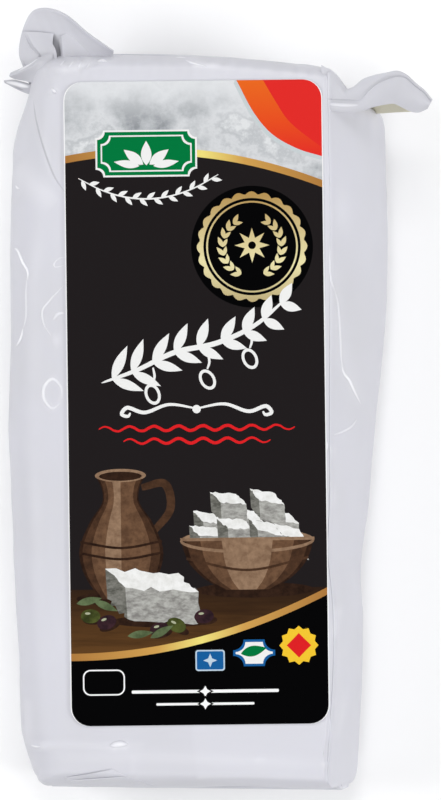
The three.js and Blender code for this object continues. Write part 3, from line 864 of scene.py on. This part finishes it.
def disc(x, y, radius, count=20):
    return round_ring(x, y, radius, np.linspace(0, 2 * math.pi, count, endpoint=False))


def ellipse(x, y, across, up, turn=0, count=40):
    return turned(disc(0, 0, 1, count) * (across, up), turn) + (x, y)


def scalloped(x, y, radius, depth, lobes, count=160):
    angle = np.linspace(0, 2 * math.pi, count, endpoint=False)
    return round_ring(x, y, radius - depth * (1 - np.abs(np.cos(0.5 * lobes * angle))), angle)


def rounded_box(x, y, width, height, corner, hollow=False):
    """A rectangle whose corners are rounded, or scooped out if hollow."""
    places = []
    for quarter, (side_x, side_y) in enumerate(((1, 1), (-1, 1), (-1, -1), (1, -1))):
        angle = np.radians(np.linspace(90 * quarter, 90 * quarter + 90, 8))
        if hollow:
            middle = (side_x * width / 2, side_y * height / 2)
            angle = angle[::-1] + math.pi
        else:
            middle = (side_x * (width / 2 - corner), side_y * (height / 2 - corner))
        places += [(middle[0] + corner * math.cos(a), middle[1] + corner * math.sin(a)) for a in angle]
    return np.array(places) + (x, y)


def stroke(path, width, ends=0.15, count=48):
    """A brush stroke along a path, thinner at its ends."""
    t, line, across = along_path(path, count)
    half = 0.5 * width * (ends + (1 - ends) * np.sin(math.pi * t) ** 0.5)
    return np.concatenate([line + across * half[:, None], (line - across * half[:, None])[::-1]])


def leaf(x, y, angle, length, width, count=14):
    """A pointed leaf that grows from a place in a direction."""
    t = np.linspace(0, 1, count)
    half = 0.5 * width * np.sin(math.pi * t ** 0.85)
    upper = np.stack([length * t, half], axis=1)
    lower = np.stack([length * t, -half], axis=1)[-2:0:-1]
    return turned(np.concatenate([upper, lower]), angle) + (x, y)


def star(x, y, radius, points, inner=0.45):
    corner = np.arange(2 * points)
    reach = np.where(corner % 2, radius * inner, radius)
    return round_ring(x, y, reach, corner * math.pi / points + math.pi / 2)


HALF_WIDTH = LABEL.width / 2
HALF_LENGTH = LABEL.length / 2
ARCH = Sizes(x=-13.3, y=73.1, fall=0.00396, thick=2.1)
SWOOP = Sizes(x=-35.8, y=-72.3, rise=0.00345, thick=2.1)
GARLAND = Sizes(x=-13.5, y=58.4, rise=0.016)
CORNER = [(12.5, HALF_LENGTH), (17.6, 82.3), (22.5, 76.5), (29.6, 72.3), (HALF_WIDTH, 69.9)]


def arch(x):
    return ARCH.y - ARCH.fall * (x - ARCH.x) ** 2


def swoop(x):
    return SWOOP.y + SWOOP.rise * (x - SWOOP.x) ** 2


def band(curve, low, high):
    """The stretch between two heights over a curve, across the whole label."""
    x = np.linspace(-HALF_WIDTH - 1, HALF_WIDTH + 1, 60)
    under = np.stack([x, curve(x) + low], axis=1)
    over = np.stack([x, curve(x) + high], axis=1)
    return np.concatenate([under, over[::-1]])


def upper_field():
    """Grey above a gold arch, on the label's black."""
    yield "grey_field", band(arch, 0, 2 * HALF_LENGTH)
    yield "gold", band(arch, -ARCH.thick, 0)


def foot_field():
    """Jet black under a gold swoop."""
    yield "jet", band(swoop, -2 * HALF_LENGTH, 0)
    yield "gold", band(swoop, -SWOOP.thick / 2, SWOOP.thick / 2)


def corner_flash():
    """A red corner with a silver edge and an orange band along it."""
    curve = spline(CORNER, np.linspace(0, 1, 30))
    outside = (HALF_WIDTH + 1, HALF_LENGTH + 1)
    close = [(curve[-1][0] + 1, curve[-1][1]), outside, (curve[0][0], outside[1])]
    yield "silver", np.concatenate([curve - (0.8, 0.9), close])
    yield "orange", np.concatenate([curve, close])
    inner = [(19.5, HALF_LENGTH + 1), (23.5, 86), (27.5, 80), (HALF_WIDTH + 1, 71.5)]
    yield "red", np.concatenate([spline(inner, np.linspace(0, 1, 20)), [outside]])


def plaque():
    """A green plaque with scooped corners and three white leaves."""
    x, y, width, height = -13.5, 71.4, 28, 12.4
    yield "white", rounded_box(x, y, width + 1, height + 1, 2.2, hollow=True)
    yield "green", rounded_box(x, y, width, height, 2.2, hollow=True)
    yield "white", *(rounded_box(x, y, width - inset, height - inset, corner, hollow=True)
                     for inset, corner in ((2, 2.4), (2.8, 2.5)))
    yield "white", leaf(x, y - 3.4, 90, 7, 3)
    for side in (-1, 1):
        yield "white", leaf(x + side * 0.9, y - 3.2, 90 - side * 52, 7, 2.8)
        yield "white", leaf(x + side * 2, y - 3.6, 90 - side * 80, 7.4, 2.2)


def sag(x):
    return GARLAND.y + GARLAND.rise * (x - GARLAND.x) ** 2


def garland():
    """A row of small white leaves along a shallow curve."""
    for k, x in enumerate(np.linspace(-32, 5, 19)):
        slope = math.degrees(math.atan(2 * GARLAND.rise * (x - GARLAND.x)))
        yield "white", leaf(x, sag(x), slope + (38 if k % 2 else -38), 3.1, 1.2)
    yield "white", stroke([(x, sag(x)) for x in np.linspace(-33, 7, 7)], 0.45, ends=0.4)


def rosette():
    """A jet black disc with a scalloped gold edge, a wreath and a star."""
    x, y, radius = 16.4, 44.4, 17.4
    yield "jet", disc(x, y, radius, 90)
    yield "pale_gold", scalloped(x, y, radius - 1.6, 1.0, 24), disc(x, y, radius - 3.5, 80)
    yield "pale_gold", disc(x, y, radius - 4.3, 70), disc(x, y, radius - 4.8, 70)
    for side in (-1, 1):
        around = -90 + side * (22 + 17 * np.arange(8))
        for place, turn in zip(round_ring(x, y, 8.4, np.radians(around)), around):
            yield "pale_gold", leaf(*place, turn + side * 66, 3.2, 1.3)
            yield "pale_gold", leaf(*place, turn + side * 120, 2.8, 1.1)
    yield "pale_gold", star(x, y + 0.4, 5, 8)
    yield "jet", disc(x, y + 0.4, 1.1)


def branch():
    """A white brush-drawn olive branch, with a flourish under it."""
    stem = [(-27, 6), (-17, 9.5), (-6, 14.5), (6, 17), (17, 22), (26, 29.5)]
    yield "white", stroke(stem, 1.5)
    places = spline(stem, np.linspace(0.06, 0.96, 9))
    for k, (x, y) in enumerate(places):
        lean = 25 + 6 * math.sin(2.1 * k)
        length = 10.5 - 0.45 * k
        yield "white", leaf(x, y, 26 + lean + 14, length, 3.0)
        yield "white", leaf(x, y, 26 - lean - 22, length * 0.92, 2.8)
    for x, y, turn in ((-12.5, 2.6, -70), (3.2, 6.6, -60), (15.4, 12.4, -65)):
        yield "white", ellipse(x, y, 3.1, 2.2, turn), ellipse(x, y, 2.2, 1.4, turn)
        yield "white", stroke([(x, y + 3), (x + 0.6, y + 5), (x + 0.2, y + 7.6)], 0.7, ends=0.5)
    for side in (-1, 1):
        curl = [(0, -1.6), (side * 8, -0.4), (side * 15, -2.6), (side * 20, -1.2),
                (side * 21.4, -3), (side * 19.6, -3.6), (side * 18.9, -2.6)]
        yield "white", stroke(curl, 1.1, ends=0.25)
    yield "white", disc(0, -1.8, 1.2)


def red_lines():
    for y, reach in ((-7.2, 28), (-10.8, 21)):
        path = [(x, y + 0.7 * math.sin(0.9 * x)) for x in np.linspace(-reach, reach, 40)]
        yield "red_line", stroke(path, 0.9, ends=0.3, count=160)


CLAYS = ("clay_dark", "clay_deep", "clay", "clay_pale")


def turned_pot(x, y, profile, shades):
    """A turned pot, shaded by bands that follow its outline from left to right."""
    heights = np.linspace(0, 1, 24)
    half, up = spline(profile, heights).T
    shares = np.sin(np.linspace(-0.5, 0.5, len(shades) + 1) * math.pi)
    for shade, left, right in zip(shades, shares[:-1], shares[1:]):
        edges = np.stack([half * left, up], axis=1), np.stack([half * right, up], axis=1)[::-1]
        yield CLAYS[shade], np.concatenate(edges) + (x, y)


def jug():
    x, y = -22, -55
    handle = [(x + 6, y + 31), (x + 12.6, y + 32), (x + 14.2, y + 25), (x + 9, y + 18)]
    yield "clay_deep", stroke(handle, 2.4, ends=0.7)
    profile = [(6, -0.8), (10.5, 6), (12, 13), (9, 21), (5.2, 27), (5.4, 31), (7.2, 34.5)]
    yield from turned_pot(x, y, profile, (0, 1, 2, 3, 2, 2, 1, 0))
    for height, half in ((15.6, 11.7), (12.4, 12.0)):
        groove = [(x - half, y + height), (x, y + height - 1.8), (x + half, y + height)]
        yield "clay_dark", stroke(groove, 0.7, ends=1)
    yield "clay_pale", ellipse(x, y + 34.5, 7.3, 1.9)
    yield "clay_dark", ellipse(x, y + 34.3, 6.1, 1.3)


def cheese_block(x, y, width, depth, height, lean, seed):
    """A rough-cut block seen from above one corner: a white top and two crumbly sides."""
    rng = np.random.default_rng(seed)

    def edge(a, b, roughness=0.035 * width):
        line = lerp(a, b, np.linspace(0, 1, 9)[:, None])
        line[1:-1] += rng.uniform(-roughness, roughness, (7, 2))
        return line[:-1]

    right, back = turned(np.array([[width, 0], [-depth * 0.5, depth * 0.42]]), lean)
    low = np.array([0.06 * height, -height])
    a = np.array([x, y])
    b, c, d = a + right, a + right + back, a + back
    far = d + low * 0.96
    front, side, bottom, side_bottom = edge(a, b), edge(d, a), edge(b + low, a + low), edge(a + low, far)
    right_end = edge(b, b + low, 0.0175 * width)
    yield "cheese_side", np.concatenate([front, right_end, bottom, edge(a + low, a, 0)])
    yield "cheese_shade", np.concatenate([side, edge(a, a + low, 0), side_bottom, edge(far, d, 0)])
    yield "cheese", np.concatenate([side, front, edge(b, c), edge(c, d)])


def bowl():
    x, y = 14, -53.5
    profile = [(6.5, 0), (12, 3), (16.8, 8), (19, 14)]
    yield "clay_pale", ellipse(x, y + 14, 19.2, 3.6)
    yield "clay_dark", ellipse(x, y + 13.8, 17.6, 2.8)
    heap = ((-11, 19.5), (9, 19.5), (-1, 20.5), (-6, 25), (5, 25.5),
            (-12, 15.5), (11.5, 15.5), (-4, 17.5), (4.5, 17))
    for k, (dx, dy) in enumerate(heap):
        yield from cheese_block(x + dx - 1.5, y + dy, 7.4, 6.5, 5.6, -8 + 7 * math.sin(3 * k), 40 + k)
    front_rim = ellipse(x, y + 14, 19.2, 3.6)
    yield from turned_pot(x, y, profile, (0, 1, 2, 3, 3, 2, 1, 0))
    lower = front_rim[front_rim[:, 1] <= y + 14.01]
    yield "clay_pale", np.concatenate([lower, (lower + (0, 0.9))[::-1]])
    yield "clay_deep", stroke([(x - 17.4, y + 9), (x, y + 5.6), (x + 17.4, y + 9)], 0.7, ends=1)


def olives():
    spots = ((-31, -60.6, "olive"), (-26.4, -62.4, "olive_dark"), (-6.5, -63.4, "olive"),
             (-11.4, -64.6, "olive_dark"), (1.4, -61, "olive_dark"))
    for k, (x, y, kind) in enumerate(spots):
        turn = 25 * math.sin(2.3 * k)
        yield "clay_dark", ellipse(x + 0.8, y - 1.2, 3, 1.2, turn)
        yield kind, ellipse(x, y, 2.8, 2, turn)
        yield "shine", ellipse(x - 0.8, y + 0.8, 0.8, 0.35, turn, count=14)
    for x, y, angle in ((-35, -57, 12), (-30, -56.2, -24), (-20.5, -66.4, 8), (-14, -67, 28)):
        yield "leaf", leaf(x, y, angle, 7.5, 2.2)


def still_life():
    """A jug, a bowl of cheese and a slab before them, on a table that ends at the swoop."""
    far, near, side = -53, -80, HALF_WIDTH + 1
    yield "table", np.array([(-side, far), (side, far), (side, near), (-side, near)])
    yield "clay_dark", ellipse(-20, -55.6, 15, 2.2)
    yield "clay_dark", ellipse(16, -53.6, 17, 2.2)
    yield from jug()
    yield from bowl()
    yield "clay_dark", ellipse(-10, -62.2, 15, 1.8)
    yield from cheese_block(-21, -52.5, 21, 12, 9, -4, 11)
    yield from olives()


def foot_panels():
    """Small plain panels and rules on the jet black foot."""
    yield "pale_blue", rounded_box(3, -73.6, 8.4, 6, 0.8)
    yield "blue", rounded_box(3, -73.6, 7.6, 5.2, 0.5)
    yield "pale_blue", star(3, -73.6, 2, 4, 0.4)
    yield "blue", rounded_box(15.6, -71.6, 12, 7.6, 3, hollow=True)
    yield "white", rounded_box(15.6, -71.6, 10.6, 6.2, 2.8, hollow=True)
    yield "green", leaf(11.8, -71.8, 12, 7.6, 3)
    yield "yellow", star(28.4, -69.6, 5.6, 12, 0.84)
    yield "red_line", star(28.4, -69.6, 3.5, 4, 0.7)
    yield "paper", rounded_box(-27.4, -79.6, 12, 7.4, 2.2), rounded_box(-27.4, -79.6, 11.2, 6.6, 1.8)
    for y, reach, thick in ((-82.4, 21, 0.9), (-86, 14, 0.7)):
        yield "paper", rounded_box(1.5, y, 2 * reach, thick, 0.3)
        yield "jet", star(1.5, y, 2.4, 4, 0.5)
        yield "paper", star(1.5, y, 1.6, 4, 0.5)


def label_outline():
    return rounded_box(0, 0, LABEL.width, LABEL.length, LABEL.corner)


def inside(places, ring):
    """Which places lie inside a closed ring."""
    found = np.zeros(len(places), bool)
    near = np.all((places >= ring.min(0)) & (places <= ring.max(0)), axis=1)
    x, y = places[near].T
    crossed = np.zeros(near.sum(), bool)
    for (ax, ay), (bx, by) in zip(ring, np.roll(ring, -1, axis=0)):
        if ay != by:
            crossed ^= ((ay > y) != (by > y)) & (x < (bx - ax) * (y - ay) / (by - ay) + ax)
    found[near] = crossed
    return found


def label_print():
    """The label's face: triangles cut along every printed outline, and the ink of each."""
    shapes = [("black", label_outline())]
    for design in (upper_field, corner_flash, plaque, garland, rosette, branch, red_lines, still_life,
                   foot_field, foot_panels):
        shapes += design()
    printed = rounded_box(0, 0, LABEL.width - 2 * PAPER_EDGE, LABEL.length, LABEL.corner)
    shapes += [("paper", label_outline(), printed)]
    steps = [np.arange(PRINT_GRID / 2 - half, half - 1, PRINT_GRID) for half in (HALF_WIDTH, HALF_LENGTH)]
    places = [(x, y) for x in steps[0] for y in steps[1]]
    edges = []
    for _, *rings in shapes:
        for ring in rings:
            first = len(places)
            places += [tuple(place) for place in ring]
            edges += [(first + k, first + (k + 1) % len(ring)) for k in range(len(ring))]
    places, _, faces, *_ = delaunay_2d_cdt([Vector(place) for place in places], edges, [], 0, PRINT_TOLERANCE)
    places = np.array([tuple(place) for place in places])
    faces = np.array(faces)
    middles = places[faces].mean(axis=1)
    names = list(INKS)
    inks = np.zeros(len(faces), int)
    for name, *rings in shapes:
        covered = np.zeros(len(faces), bool)
        for ring in rings:
            covered ^= inside(middles, ring)
        inks[covered] = names.index(name)
    kept = inside(middles, label_outline())
    return places, faces[kept], inks[kept]


def on_front(own, lift):
    """From the label's own square frame to the front of the pack."""
    x, y = (turned(own, LABEL_TURN) + (LABEL.x, LABEL.y)).T
    return np.stack([x, y, front_height(x, y) + lift], axis=1)


def label_shape():
    """The printed face with a thin cut edge and a plain back."""
    places, faces, inks = label_print()
    used, faces = np.unique(faces, return_inverse=True)
    places, faces = places[used], faces.reshape(-1, 3)
    count = len(places)
    edges = np.concatenate([faces[:, [0, 1]], faces[:, [1, 2]], faces[:, [2, 0]]])
    key = edges.min(axis=1) * count + edges.max(axis=1)
    _, first, times = np.unique(key, return_index=True, return_counts=True)
    rim = edges[first[times == 1]]
    walls = np.concatenate([
        np.stack([rim[:, 0], rim[:, 0] + count, rim[:, 1] + count], axis=1),
        np.stack([rim[:, 0], rim[:, 1] + count, rim[:, 1]], axis=1),
    ])
    top, back = LABEL.gap + LABEL.thickness, LABEL.gap - LABEL.sunk
    points = np.concatenate([on_front(places, top), on_front(places, back)])
    paper = list(INKS).index("paper")
    plain = np.full(len(walls) + len(faces), paper)
    return points, np.concatenate([faces, walls, faces[:, ::-1] + count]), np.concatenate([inks, plain])


# Pieces

def place_film():
    film = film_material("film", (0.565, 0.565, 0.6), (0.595, 0.595, 0.645))
    # the ears: a darker copy of the film, painted shade
    ear_film_painted_shade = film_material("film_of_ears_painted_shade", (0.525, 0.525, 0.56), (0.545, 0.545, 0.585))
    # the flap's underside: a paler, yellower copy of the film, painted light in the flap's shade
    inner = film_material("film_inner_painted_light", (0.68, 0.65, 0.5), (0.74, 0.71, 0.56))
    points, faces, painted_light = film_shape()
    pieces = [mesh_object("film_body", points, faces, [film], painted_light=painted_light)]
    shapes = [(points, faces)]
    for seed, (name, parts) in enumerate(EARS.items(), 2):
        ear = joined([sheet_shape(crumpled(pleated(rims, bulge), 10 * seed + k, crinkle), SHEET)
                      for k, (rims, bulge, crinkle) in enumerate(parts)])
        shapes.append(ear)
        pieces.append(mesh_object(name, *ear, [inner if "inner" in name else ear_film_painted_shade], crisp=CRISP_EDGE))
    seals = joined([seal_shape(*seal) for seal in SEALS])
    pieces.append(mesh_object("film_seals", *seals, [film], crisp=CRISP_EDGE))
    heights = height_finder(*joined(shapes))
    # the crease ribbons carry painted highlight and painted shade
    creases = [crease_shape(*crease, heights) for crease in CREASES]
    painted_tones = np.concatenate([shape[2] for shape in creases])
    pieces.append(mesh_object("film_creases", *joined(creases), [film], painted_light=painted_tones))
    folds = joined([laid_fold_shape(*fold, heights) for fold in LAID_FOLDS])
    pieces.append(mesh_object("film_laid_folds", *folds, [film], crisp=CRISP_EDGE))
    for piece in pieces:
        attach(piece, "root")
        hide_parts("pack")


def place_label():
    points, faces, inks = label_shape()
    materials = [ink_material("ink_" + name, colour) for name, colour in INKS.items()]
    piece = mesh_object("label_print", points, faces, materials, inks=inks, crisp=CRISP_EDGE)
    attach(piece, "root")
    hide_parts("label")


# Floor, light and camera

FLOOR_SIZE = 6  # metres


def place_floor():
    bpy.ops.mesh.primitive_plane_add(size=FLOOR_SIZE)
    floor = bpy.context.object
    floor.name = "floor"
    material, tree, shader = new_material("floor_white")
    set_inputs(tree, shader, Base_Color=(0.93,) * 3, Roughness=0.9, Specular_IOR_Level=0.1)
    floor.data.materials.append(material)


def softbox(name, place, power):
    """A square lamp that faces the pack."""
    data = bpy.data.lights.new(name, "AREA")
    data.size = SOFTBOX.size
    data.energy = power
    light = bpy.data.objects.new(name, data)
    light.location = place
    light.rotation_euler = (Vector(SOFTBOX.target) - place).to_track_quat("-Z", "Y").to_euler()
    bpy.context.scene.collection.objects.link(light)


# Lamps: how far round the pack and off the vertical each hangs, in degrees, and its power
SOFTBOXES = (("top", 90, 34, 6.2), ("right", -8, 56, 9.5), ("left", 172, 46, 8.8), ("foot", -96, 34, 4.5))
SOFTBOX = Sizes(distance=1.6, size=0.6, target=(0, 0, 0.03))
DOME = Sizes(colour=(0.97, 0.975, 1.0), strength=0.45)


def place_lights():
    world = bpy.data.worlds.new("soft_white")
    bpy.context.scene.world = world
    world.use_nodes = True
    tree = world.node_tree
    set_inputs(tree, tree.nodes["Background"], Color=DOME.colour, Strength=DOME.strength)
    for name, around, off, power in SOFTBOXES:
        around, off = math.radians(around), math.radians(off)
        flat = SOFTBOX.distance * math.sin(off)
        place = Vector((flat * math.cos(around), flat * math.sin(around), SOFTBOX.distance * math.cos(off)))
        softbox(name, place, power)


def place_camera():
    data = bpy.data.cameras.new("camera")
    data.sensor_width = SENSOR_WIDTH
    seen_height = PHOTO.height / PHOTO.pixels_per_mm
    data.lens = SENSOR_WIDTH * CAMERA_DISTANCE / seen_height
    camera = bpy.data.objects.new("camera", data)
    middle = Vector((PHOTO.middle_x, PHOTO.middle_y, THICKNESS + CAMERA_DISTANCE)) + SHIFT
    camera.location = middle * MM
    bpy.context.scene.collection.objects.link(camera)
    bpy.context.scene.camera = camera


place_film()
place_label()
place_floor()
place_lights()
place_camera()
bpy.context.scene.view_settings.view_transform = "Standard"
